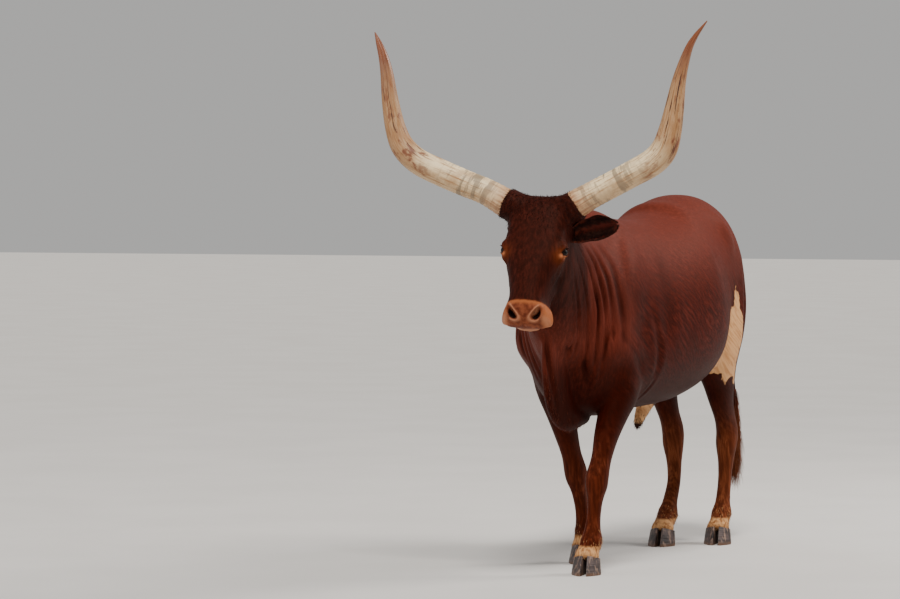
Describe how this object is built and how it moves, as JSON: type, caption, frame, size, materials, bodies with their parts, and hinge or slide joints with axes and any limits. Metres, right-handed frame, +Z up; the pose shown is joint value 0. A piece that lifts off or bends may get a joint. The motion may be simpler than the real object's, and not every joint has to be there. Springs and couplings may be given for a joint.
{
  "type": "ankole-watusi ox, still life-size animal model",
  "caption": "Standing long-horned ankole-watusi ox with a dark red-brown coat, wide upswept horns, folded dewlap, cloven feet and hanging tail.",
  "frame": {"origin": "on the floor, under the middle of the bounding box", "axes": "+Z up; the animal faces -Y and its left side is towards +X"},
  "size_m": [1.2478, 2.0656, 2.0584],
  "materials": {
    "hide": "short flat coat, satin",
    "horn": "smooth keratin, satin",
    "claw": "hard keratin, satin",
    "eye": "wet gloss"
  },
  "bodies": {
    "root": {"head": "hide", "neck": "hide", "torso": "hide", "tail": "hide", "tail_switch": "hide", "ear_left": "hide", "ear_right": "hide", "horn_left": "horn", "horn_right": "horn", "eye_left": "eye", "eye_right": "eye", "foreleg_left": "hide", "foreclaw_left_inner": "claw", "foreclaw_left_outer": "claw", "foreleg_right": "hide", "foreclaw_right_inner": "claw", "foreclaw_right_outer": "claw", "hindleg_left": "hide", "hindclaw_left_inner": "claw", "hindclaw_left_outer": "claw", "hindleg_right": "hide", "hindclaw_right_inner": "claw", "hindclaw_right_outer": "claw"}
  },
  "joints": []
}
